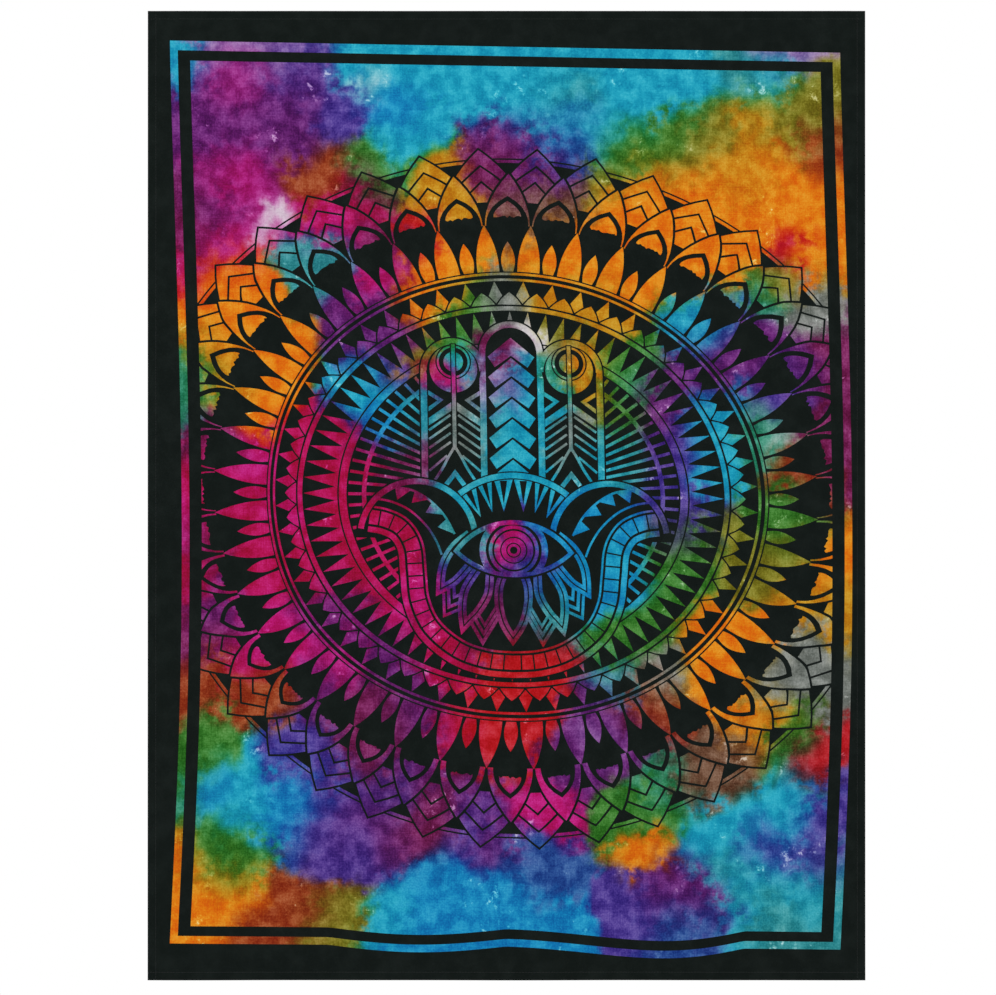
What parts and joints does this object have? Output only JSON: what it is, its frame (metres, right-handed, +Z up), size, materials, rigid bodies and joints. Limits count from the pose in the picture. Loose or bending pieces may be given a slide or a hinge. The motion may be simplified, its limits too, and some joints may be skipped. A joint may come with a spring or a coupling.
{
  "type": "tapestry wall hanging",
  "caption": "Rectangular cotton wall hanging, tie-dyed and printed with a mandala and a hand, with stitched double-turned hems.",
  "frame": {"origin": "on the wall plane, at the back of the top hem, half-way along it and half-way down it, where the hanging is pinned up", "axes": "+Z up along the longer side of the cloth, +X to the right as seen from the front, +Y into the wall; the printed front faces -Y"},
  "size_m": [0.752, 0.0009, 1.016],
  "materials": {
    "dyed_cotton": "matte",
    "black_cotton": "matte",
    "sewing_thread": "satin"
  },
  "bodies": {
    "root": {"cotton_panel": "dyed_cotton", "top_hem": "black_cotton", "bottom_hem": "black_cotton", "left_hem": "black_cotton", "right_hem": "black_cotton", "top_needle_thread": "sewing_thread", "top_bobbin_thread": "sewing_thread", "bottom_needle_thread": "sewing_thread", "bottom_bobbin_thread": "sewing_thread", "left_needle_thread": "sewing_thread", "left_bobbin_thread": "sewing_thread", "right_needle_thread": "sewing_thread", "right_bobbin_thread": "sewing_thread"}
  },
  "joints": []
}
